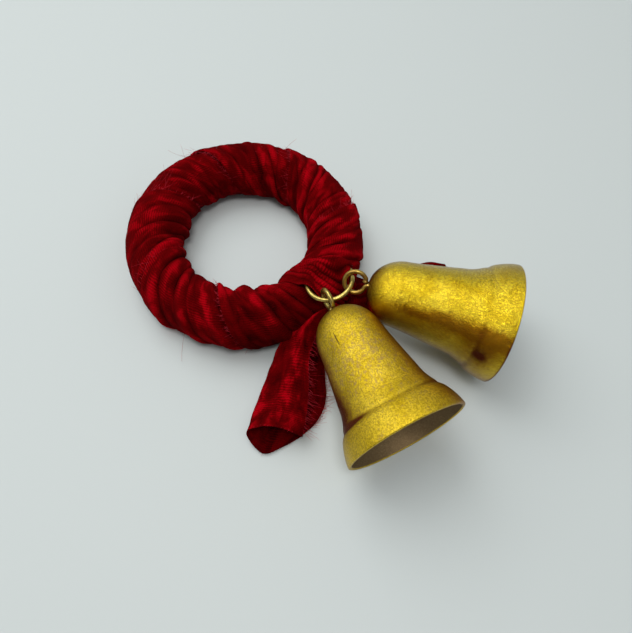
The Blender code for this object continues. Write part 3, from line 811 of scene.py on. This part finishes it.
def edge_frays(grid, normals, random):
    """Threads in clusters along the strip's raw edge, where it lies on top."""
    rows, columns = grid.shape[:2]
    paths = []
    for row in range(3, rows - 3):
        turns = TURNS * row / (rows - 1)
        section = (turns % 1) * 360 - 90
        if 2.95 < turns < 4.05 or not FRAY_SEEN[0] <= section <= FRAY_SEEN[1]:
            continue
        edge, inside = (0, 3) if turns < 3 else (columns - 1, columns - 4)
        start = grid[row, edge] - normals[row, edge] * SHEET * 0.5
        outward = unit(grid[row, edge] - grid[row, inside])
        along = unit(grid[row + 2, edge] - grid[row - 2, edge])
        cluster = 1.0 + 0.8 * math.sin(turns * 61.0) * math.sin(turns * 23.0)
        reach = (0.55 + 0.75 * math.exp(-((section - 40) / 55) ** 2)) * cluster
        for _ in range(2 if cluster > 0.8 else 1):
            lean = random.normal(0, 0.6)
            heading = unit(outward + along * lean + normals[row, edge] * random.uniform(0.25, 0.95))
            length = min((random.gamma(2.4, 0.0008) + 0.0005) * reach, FRAY_LONGEST)
            paths.append(fray(start - outward * 0.0003, heading, outward, length, 0.55, random, 8))
    return paths


def make_wrap_fringe(grid, material):
    random = np.random.default_rng(WRAP_FRINGE_SEED)
    rows, columns = grid.shape[:2]
    normals = grid_normals(grid)
    paths = edge_frays(grid, normals, random)
    for _ in range(FUZZ):
        row, column = random.integers(2, rows - 2), random.integers(2, columns - 2)
        heading = unit(normals[row, column] + random.normal(0, 0.6, 3))
        length = random.uniform(*FUZZ_LENGTH)
        paths.append(fray(grid[row, column], heading, heading, length, 0.3, random, 3))
    fringe = threads_object("wrap_fringe", paths, WRAP_THREAD, material)
    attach(fringe, "hoop")
    return fringe


# ---- ribbon ends ----
def control_surface(rows, row_count, column_count):
    """A smooth surface through a net of control points in millimetres."""
    rows = np.array(rows, float) * MM
    along = spline(rows, row_count)
    across = spline(np.swapaxes(along, 0, 1), column_count)
    return np.swapaxes(across, 0, 1)


# nets of points in mm, one row for each place along the end, from the knot to its tip
LEFT_TAIL = (
    ((8.5, -6.5, 8.6), (7.4, -6.6, 8.4), (6.6, -6.3, 8.6), (5.6, -5.5, 9.6),
     (6.6, -4.9, 11.0), (7.8, -4.9, 11.8), (9.0, -5.3, 12.2)),
    ((6.2, -10.8, 5.6), (4.2, -11.6, 5.0), (1.2, -12.2, 5.2), (-2.4, -12.4, 8.0),
     (-1.2, -11.2, 10.8), (1.8, -9.8, 12.4), (5.2, -9.0, 12.2)),
    ((5.4, -15.4, 3.2), (2.5, -16.0, 2.8), (-2.6, -16.4, 3.0), (-7.2, -16.4, 5.2),
     (-4.8, -14.8, 8.4), (-0.6, -13.6, 9.8), (3.2, -13.8, 9.4)),
    ((6.4, -22.0, 1.0), (3.0, -22.5, 0.8), (-3.5, -22.5, 0.9), (-8.9, -21.8, 3.6),
     (-5.5, -21.0, 6.4), (-1.5, -20.5, 7.6), (1.6, -20.8, 7.0)),
    ((7.3, -30.5, 0.6), (3.5, -31.0, 0.6), (-4.5, -31.0, 0.6), (-10.8, -30.1, 3.2),
     (-7.0, -29.8, 6.4), (-2.0, -30.0, 7.6), (2.4, -30.5, 6.4)),
    ((5.2, -37.0, 0.6), (2.0, -38.5, 0.6), (-6.0, -39.5, 0.6), (-12.6, -38.0, 3.0),
     (-8.4, -37.2, 6.6), (-3.0, -37.6, 7.6), (2.2, -38.2, 6.0)),
    ((0.8, -42.0, 0.6), (-3.0, -44.6, 0.6), (-8.6, -47.2, 0.6), (-13.6, -42.8, 2.6),
     (-10.2, -41.5, 6.4), (-4.5, -41.7, 7.4), (1.8, -43.0, 5.4)),
)
RIGHT_TAIL = (
    ((14.4, -8.0, 1.0), (11.8, -4.6, 4.2), (10.4, 0.0, 5.6), (10.2, 5.0, 5.8), (11.2, 10.0, 4.8)),
    ((20.0, -5.4, 1.2), (18.4, -3.0, 4.8), (17.0, 0.6, 6.2), (16.2, 4.8, 5.8), (16.4, 8.8, 3.6)),
    ((25.5, -1.5, 1.2), (24.4, 0.2, 5.4), (22.6, 2.4, 7.4), (20.6, 5.4, 6.0), (19.6, 8.2, 2.2)),
    ((33.0, 3.4, 0.7), (31.8, 5.0, 6.0), (29.8, 7.8, 7.8), (27.6, 10.8, 6.0), (26.0, 12.8, 0.7)),
    ((40.0, 7.8, 0.7), (38.8, 9.4, 5.6), (37.0, 12.2, 7.4), (35.0, 15.2, 5.8), (33.6, 17.0, 0.8)),
    ((43.0, 12.6, 0.7), (42.6, 13.4, 3.6), (41.8, 14.8, 5.2), (40.8, 16.2, 3.8), (40.0, 17.2, 0.7)),
)


TAIL_WIDTH = 36.0               # mm of strip across each end
TAIL_FLOOR = 0.0006


def ribbon_piece(net, row_count, column_count, seed, waves):
    """A limp ribbon end: smooth net, shallow folds along it and a slightly uneven edge."""
    grid = control_surface(net, row_count, column_count)
    across = np.linspace(0, 1, column_count)[None, :]
    along = np.linspace(0, 1, row_count)[:, None]
    random = np.random.default_rng(seed)
    height = np.zeros((row_count, column_count))
    for _ in range(waves):
        middle = random.uniform(0.05, 0.95)
        lean = random.uniform(-0.25, 0.25)
        size = random.uniform(0.2, 0.55)
        thin = random.uniform(0.03, 0.07)
        height += size * bump_at(across - lean * along, middle, thin)
    dents = rough_field(grid, 260.0, seed)
    rough = rough_field(grid, 900.0, seed + 5)
    # painted light and shade on the end: brighter on its folds and outward dents, with a small random
    # mottle
    painted_light = np.clip(0.25 + height * 0.30 + dents * 0.12 + rough * 0.07, 0, 1)
    height += dents * 0.42 + rough_field(grid, 800.0, seed + 3) * 0.09
    grid = grid + grid_normals(grid) * (height * MM * 0.6)[..., None]
    grid[..., 2] = np.maximum(grid[..., 2], TAIL_FLOOR)
    length = np.linalg.norm(np.diff(grid[:, column_count // 2], axis=0), axis=1).sum() / MM
    cloth = np.stack(np.broadcast_arrays(along * length, across * TAIL_WIDTH, along * 0), -1)
    return grid, cloth, painted_light


def make_tails(material):
    grid, cloth, painted_light = ribbon_piece(LEFT_TAIL, 130, 110, 8, 9)
    left = cloth_object("ribbon_end_left", grid, material, cloth, painted_light)
    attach(left, "hoop")
    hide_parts("ribbon_tail_left")
    other, cloth, painted_light = ribbon_piece(RIGHT_TAIL, 90, 70, 14, 6)
    right = cloth_object("ribbon_end_right", other[:, ::-1], material, cloth, painted_light[:, ::-1])
    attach(right, "hoop")
    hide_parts("ribbon_tail_right")
    return left, grid, right


def edge_threads(edge, inside, spacing, reach, lean, random, keep_low=None):
    """Frayed threads that stand out from one edge of a cloth."""
    paths = []
    steps = np.linalg.norm(np.diff(edge, axis=0), axis=1)
    run = np.concatenate([[0], np.cumsum(steps)])

    def at(line, place):
        return np.array([np.interp(place, run, line[:, k]) for k in range(3)])

    for place in np.arange(spacing, run[-1] - spacing, spacing):
        place = place + random.uniform(-0.4, 0.4) * spacing
        start = at(edge, place)
        outward = start - at(inside, place)
        along = at(edge, place + 0.001) - start
        heading = outward / max(np.linalg.norm(outward), 1e-9)
        along = along / max(np.linalg.norm(along), 1e-9)
        heading = heading + along * random.normal(lean, 0.25)
        heading[2] *= 0.3
        heading /= np.linalg.norm(heading)
        length = reach * random.uniform(0.45, 1.2)
        path = fray(start - heading * 0.0004, heading, np.array([0, 0, 1.0]), length, 0.22, random)
        if keep_low is not None:
            path[:, 2] = np.minimum(path[:, 2], keep_low)
        paths.append(path)
    return paths


def make_tail_fringe(grid, material):
    """Threads on the left end: a comb in its lower layer, its upper edge and its cut tip."""
    random = np.random.default_rng(END_FRINGE_SEED)
    rows = grid.shape[0]
    comb = slice(int(rows * 0.38), int(rows * 0.90))
    upper = slice(int(rows * 0.30), rows - 1)
    paths = edge_threads(grid[comb, 0], grid[comb, 4], 0.00042, 0.0030, 0.25, random, 0.0016)
    paths += edge_threads(grid[comb, 2], grid[comb, 6], 0.0009, 0.0040, -0.3, random, 0.0026)
    paths += edge_threads(grid[upper, -1], grid[upper, -5], 0.00045, 0.0036, 0.4, random)
    paths += edge_threads(grid[-1, 6:-4], grid[-4, 6:-4], 0.0011, 0.0008, 0.0, random)
    fringe = threads_object("ribbon_end_fringe", paths, END_THREAD, material)
    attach(fringe, "hoop")
    return fringe


# the one long thread that hangs from the hoop's near left side, in mm
LOOSE_THREAD = ((-31.2, -10.5, 15.9), (-34.0, -13.4, 9.5), (-35.4, -16.0, 3.6), (-35.8, -19.0, 0.6),
                (-35.4, -22.0, 0.2))


def make_loose_thread(material):
    path = spline(np.array(LOOSE_THREAD) * MM, 40)
    thread = threads_object("loose_thread", [path], LONG_THREAD, material)
    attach(thread, "hoop")


# ---- bells ----
def in_row_frame(name, points):
    """Points from the bell's own frame: origin at the crown, -Z down the bell, Y upward."""
    swivel = joints[name + "_swivel"]
    axis = Vector(swivel["axis"]).normalized()
    side = axis.cross(Vector((0, 0, 1))).normalized()
    up = (-axis).cross(side)
    rotation = Matrix((side, up, -axis)).transposed()
    place = np.array(Matrix.Translation(Vector(swivel["pos_m"])) @ rotation.to_4x4())
    return points @ place[:3, :3].T + place[:3, 3]


WAIST = 0.80                    # where the rim band starts, as a share of the length
WAIST_GROOVE = 0.00026
LIP_ROUND = 0.00030
LIP_STEPS = 8
PROFILE_STEPS = 18              # steps of each stretch of the outline
BELL_SIDES = 144
# points of the outside, radius and depth, each with the handles of the curve before and after it
BELL_KNOTS = (
    ((HOLE_RADIUS, 0.0001), None, (0.0052, 0.0002)),
    ((0.0093, 0.0088), (0.0086, 0.0040), (0.0095, 0.0125)),
    ((0.0120, 0.0262), (0.0114, 0.0220), (0.0123, 0.0284)),
    ((0.0150, 0.0331), (0.0136, 0.0309), (0.0157, 0.0345)),
    ((MOUTH_RADIUS, BELL_DRAWN), (0.0167, 0.0370), None),
)
SPOT_DEPTH = 0.0325             # bell B's burnt dent
SPOT_TURN = 0.30
SPOT_DENT = 0.00040
WOBBLE = 0.00010


def bell_profile(length):
    """Closed section of the shell, from the crown's hole out to the lip and back inside.

    Returns it with the number of its points that are outside.
    """
    outer = []
    for (start, _, leave), (end, arrive, _) in zip(BELL_KNOTS, BELL_KNOTS[1:]):
        for i in range(PROFILE_STEPS):
            t = i / PROFILE_STEPS
            a, b, c, d = (1 - t) ** 3, 3 * t * (1 - t) ** 2, 3 * t * t * (1 - t), t ** 3
            outer.append([a * start[k] + b * leave[k] + c * arrive[k] + d * end[k] for k in (0, 1)])
    outer.append([MOUTH_RADIUS, BELL_DRAWN])
    outer = np.array(outer)
    outer[:, 0] -= WAIST_GROOVE * bump_at(outer[:, 1], WAIST * BELL_DRAWN, 0.00065)
    outer[:, 1] *= length / BELL_DRAWN
    tangent = np.gradient(outer, axis=0)
    tangent /= np.linalg.norm(tangent, axis=1, keepdims=True)
    inward = np.stack([-tangent[:, 1], tangent[:, 0]], -1)
    inner = outer + inward * BELL_WALL
    inner = inner[inner[:, 0] > HOLE_RADIUS]
    inner[0, 0] = HOLE_RADIUS
    middle = (outer[-1] + inner[-1]) / 2
    half = (outer[-1] - inner[-1]) / 2
    set_back = tangent[-1] * LIP_ROUND
    lip = []
    for i in range(1, LIP_STEPS):
        angle = math.pi * i / LIP_STEPS
        lip.append(middle + half * math.cos(angle) + set_back * math.sin(angle) - set_back)
    outer[-1] -= set_back
    inner[-1] -= set_back
    return np.concatenate([outer, np.array(lip), inner[::-1]]), len(outer) + len(lip)


def beside(turn, centre, width):
    """1 at one angle round the bell, falling off on both sides of it."""
    offset = (turn - centre + math.pi) % (2 * math.pi) - math.pi
    return np.exp(-(offset / width) ** 2)


def bell_a_wear(turn, ratio, streaks, crown, waist, lip):
    """Painted shade with red-brown patina down both flanks, patina in the waist, and a rubbed front."""
    below_crown = smoothstep(0.04, 0.25, ratio)
    body = 1 - smoothstep(0.79, 0.83, ratio)
    # left and right: painted shade and reflection down the flanks, where the bell turns away, with
    # red-brown patina
    left = beside(turn, -0.12 + 0.12 * streaks, 0.42 + 0.20 * smoothstep(0.4, 0.75, ratio))
    left *= smoothstep(0.02, 0.20, ratio) * (0.90 + 0.50 * smoothstep(0.45, 0.74, ratio))
    right = beside(turn, 2.88 + 0.10 * streaks, 0.42) * below_crown
    along_waist = 0.30 + 0.80 * beside(turn, 0.40, 0.50) + 0.45 * beside(turn, 2.2, 0.42)
    # patina in the crown and waist, painted shade with patina on the flanks, and a clean lip
    patina_and_shade = 0.62 * crown + waist * along_waist + left * body - 0.8 * lip
    patina_and_shade += 0.85 * right * (0.45 + 0.55 * body)
    rubbed = 0.8 * bump_at(ratio, 0.45, 0.28)
    # amber: painted shade and reflection on the flanks
    amber = 0.5 * left * body + 0.9 * beside(turn, 2.55, 0.40) * below_crown
    return patina_and_shade, rubbed, amber


def bell_b_wear(turn, depth, ratio, streaks, crown, waist, lip):
    """A painted reflection in an amber band along the side, a burnt spot with its halo, painted shade on
    the underside, and a lip darker on the near side.
    """
    spot = bump_at(depth, SPOT_DEPTH, 0.0017) * beside(turn, SPOT_TURN, 0.13)
    halo = bump_at(depth, SPOT_DEPTH, 0.0036) * beside(turn, SPOT_TURN, 0.30)
    # painted reflection of the dark side of the room, along the side
    reflection_band = beside(turn, 0.68 + 0.12 * streaks, 0.24) * smoothstep(0.08, 0.35, ratio)
    # painted shade on the underside
    low = beside(turn, -0.45, 0.42)
    patina_and_shade = 0.75 * crown + 0.34 * waist + 1.25 * spot + 0.45 * low + 0.45 * reflection_band
    # the lip is darker on the near side
    patina_and_shade += 1.1 * lip * smoothstep(0.60, 0.95, np.cos(turn - 0.1))
    rubbed = 0.1 * np.ones_like(ratio)
    amber = 1.00 * reflection_band + 0.8 * halo + 0.60 * low
    return patina_and_shade, rubbed, amber


def make_bell(name, outside, inside):
    facts = BELLS[name]
    profile, split = bell_profile(facts["length"])
    count = len(profile)
    angles = np.arange(BELL_SIDES) * 2 * np.pi / BELL_SIDES
    radius = profile[:, 0][:, None] * np.ones(BELL_SIDES)
    depth = profile[:, 1][:, None] * np.ones(BELL_SIDES)
    turn = angles[None, :] * np.ones((count, 1))
    local = np.stack([radius * np.cos(turn), radius * np.sin(turn), -depth], -1)
    wobble = rough_field(local, 70.0, facts["seed"]) * WOBBLE
    if name == "bell_b":
        wobble = wobble - SPOT_DENT * bump_at(depth, SPOT_DEPTH, 0.0020) * bump_at(turn, SPOT_TURN, 0.17)
    wobble *= smoothstep(0.0015, 0.006, radius)
    radial = np.stack([np.cos(turn), np.sin(turn), np.zeros_like(turn)], -1)
    points = in_row_frame(name, (local + radial * wobble[..., None]).reshape(-1, 3))
    faces = []
    for ring in range(count):
        faces += ring_faces(ring * BELL_SIDES, (ring + 1) % count * BELL_SIDES, BELL_SIDES)
    ratio = depth / facts["length"]
    crown = np.exp(-(ratio / 0.10) ** 2)
    waist = bump_at(ratio, WAIST, 0.018)
    lip = bump_at(ratio, 1.0, 0.014) * (np.arange(count)[:, None] <= split)
    streaks = rough_field(local * np.array((1.0, 1.0, 0.25)), 420.0, 7.0)
    if name == "bell_a":
        patina_and_shade, rubbed, amber = bell_a_wear(turn, ratio, streaks, crown, waist, lip)
    else:
        patina_and_shade, rubbed, amber = bell_b_wear(turn, depth, ratio, streaks, crown, waist, lip)
    attributes = {"local": local.reshape(-1, 3) / MM, "patina_and_shade": patina_and_shade.ravel(),
                  "rubbed": rubbed.ravel(), "amber": amber.ravel()}
    shell = mesh_object(name + "_gilt_shell", points, faces, outside, attributes)
    shell.data.materials.append(inside)
    indices = np.repeat(np.arange(count) >= split, BELL_SIDES).astype(int)
    shell.data.polygons.foreach_set("material_index", indices)
    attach(shell, name)
    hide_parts(name + "_shell")
    return shell


# ---- wire eyes and jump ring ----
EYE_CLOSING = ((-0.00035, 0.00105), (-0.00075, 0.00095), (-0.00120, 0.00100))   # sideways, up
EYE_LEG = ((0.00080, 0.00072), (0.00028, 0.00038))
LEG_STRAIGHT = (-0.0001, -0.0017)       # heights where the leg runs down the bell's axis
LEG_FOOT = (0.00022, -0.0022)
# the wire's thickness at the eye's soldered end, as shares of its radius
SOLDER = (0.45, 0.85, 1.10, 1.22, 1.28, 1.30, 1.28, 1.24, 1.18, 1.12, 1.06, 1.02)
RING_TIP = (0.45, 7)                    # thickness at the ring's cut ends, and points it takes
RING_OTHER_TIP = (0.75, 5)


def arc(centre, u, v, radius, start, end, count):
    angles = np.radians(np.linspace(start, end, count))[:, None]
    return np.array(centre) + radius * (np.cos(angles) * np.array(u) + np.sin(angles) * np.array(v))


def make_eye(name, material):
    """One bent wire: the closing end, the eye, the leg through the crown and the inner hook."""
    turn = math.radians(BELLS[name]["eye_turn"])
    lateral = np.array((math.cos(turn), math.sin(turn), 0))
    inner = np.array((1.0, 0, 0))
    closing = [lateral * across + (0, 0, high) for across, high in EYE_CLOSING]
    outer = arc((0, 0, EYE_REACH), lateral, (0, 0, 1), EYE_RADIUS, -62, 236, 27)
    leg = [lateral * across + (0, 0, high) for across, high in EYE_LEG]
    leg += [np.array((0, 0, high)) for high in LEG_STRAIGHT]
    leg += [inner * LEG_FOOT[0] + (0, 0, LEG_FOOT[1])]
    hook = arc((0, 0, -HOOK_DEPTH), inner, (0, 0, -1), HOOK_RADIUS, -60, 238, 25)
    path = spline(np.concatenate([np.array(closing), outer[::-1], np.array(leg), hook]), 260)
    radii = np.full(len(path), WIRE_RADIUS)
    radii[:len(SOLDER)] *= SOLDER
    eye = wire_object(name + "_eye_wire", in_row_frame(name, path), radii, material)
    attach(eye, name + "_eye")
    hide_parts(name + "_eye")
    return eye


def make_ring(material):
    first = (Vector((1, 0, 0)) - RING_NORMAL * RING_NORMAL.x).normalized()
    second = RING_NORMAL.cross(first)
    half = math.degrees(RING_GAP / RING_RADIUS)
    path = arc(RING_CENTRE, first, second, RING_RADIUS, RING_CUT + half, RING_CUT + 360 - half, 200)
    radii = np.full(len(path), WIRE_RADIUS)
    share, points = RING_TIP
    radii[:points] *= np.linspace(share, 1, points)
    share, points = RING_OTHER_TIP
    radii[-points:] *= np.linspace(1, share, points)
    ring = wire_object("open_ring_wire", path, radii, material)
    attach(ring, "jump_ring")
    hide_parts("jump_ring")
    return ring


# ---- CAD pieces that stay ----
def carry_over(material_by_node):
    """CAD nodes that stay get a procedural material."""
    for node, material in material_by_node.items():
        mesh = frame["nodes"][node].data
        mesh.materials.clear()
        mesh.materials.append(material)


def steel_material():
    s = Shader("dull_steel")
    place = s.node("ShaderNodeTexCoord").outputs["Object"]
    grain = s.noise(place, 2600.0, 3.0, 0.7)
    colour = s.ramp(grain, ((0.35, (0.26, 0.24, 0.21)), (0.65, (0.46, 0.44, 0.41))))
    return s.finish(Base_Color=colour, Metallic=1.0, Roughness=0.42, Normal=s.bump(grain, 0.2, 0.0001))


def wood_material():
    s = Shader("bare_wood")
    place = s.node("ShaderNodeTexCoord").outputs["Object"]
    grain = s.noise(s.scaled(place, (900, 900, 90)), 1.0, 3.0)
    colour = s.ramp(grain, ((0.3, (0.30, 0.18, 0.09)), (0.7, (0.48, 0.32, 0.17))))
    return s.finish(Base_Color=colour, Roughness=0.6)


def make_floor():
    half = FLOOR_HALF
    points = [(-half, -half, 0), (half, -half, 0), (half, half, 0), (-half, half, 0)]
    floor = mesh_object("floor", points, [(0, 1, 2, 3)], floor_material(), smooth=False)
    floor.location.z = -FLOOR_DROP


# ---- build ----
make_camera()
for light in LIGHTS:
    area_light(*light)
make_world()
make_floor()

velvet = velvet_material()
threads = thread_material()
wire = wire_material("drawn_brass", (0.66, 0.54, 0.15), (0.28, 0.18, 0.045), 0.24)
coppery = wire_material("tarnished_brass", (0.54, 0.37, 0.085), (0.22, 0.11, 0.030), 0.26)
inside_bronze = bronze_material()

wrap, wrap_grid = make_wrap(velvet)
wrap_fringe = make_wrap_fringe(wrap_grid, threads)
tail_left, left_grid, tail_right = make_tails(velvet)
tail_fringe = make_tail_fringe(left_grid, threads)
make_loose_thread(threads)
strap = make_strap(velvet)
make_knot(velvet)
make_ring(wire)
make_eye("bell_a", wire)
make_eye("bell_b", coppery)
matte = gilt_material("gilt_matte", seed=3.0, worn=1.0, polish=0.28, relief=0.00022,
                      base=(0.70, 0.48, 0.012), pale=(0.94, 0.68, 0.050), scratch=SCRATCH)
bright = gilt_material("gilt_bright", seed=8.0, worn=0.25, polish=0.08, relief=0.00027,
                       base=(0.70, 0.47, 0.008), pale=(0.95, 0.71, 0.050))
make_bell("bell_a", matte, inside_bronze)
make_bell("bell_b", bright, inside_bronze)

steel = steel_material()
carry_over({"bell_a_clapper_wire": steel, "bell_a_clapper_ball": steel,
            "bell_b_clapper_wire": steel, "bell_b_clapper_ball": steel,
            "hoop_core": wood_material()})
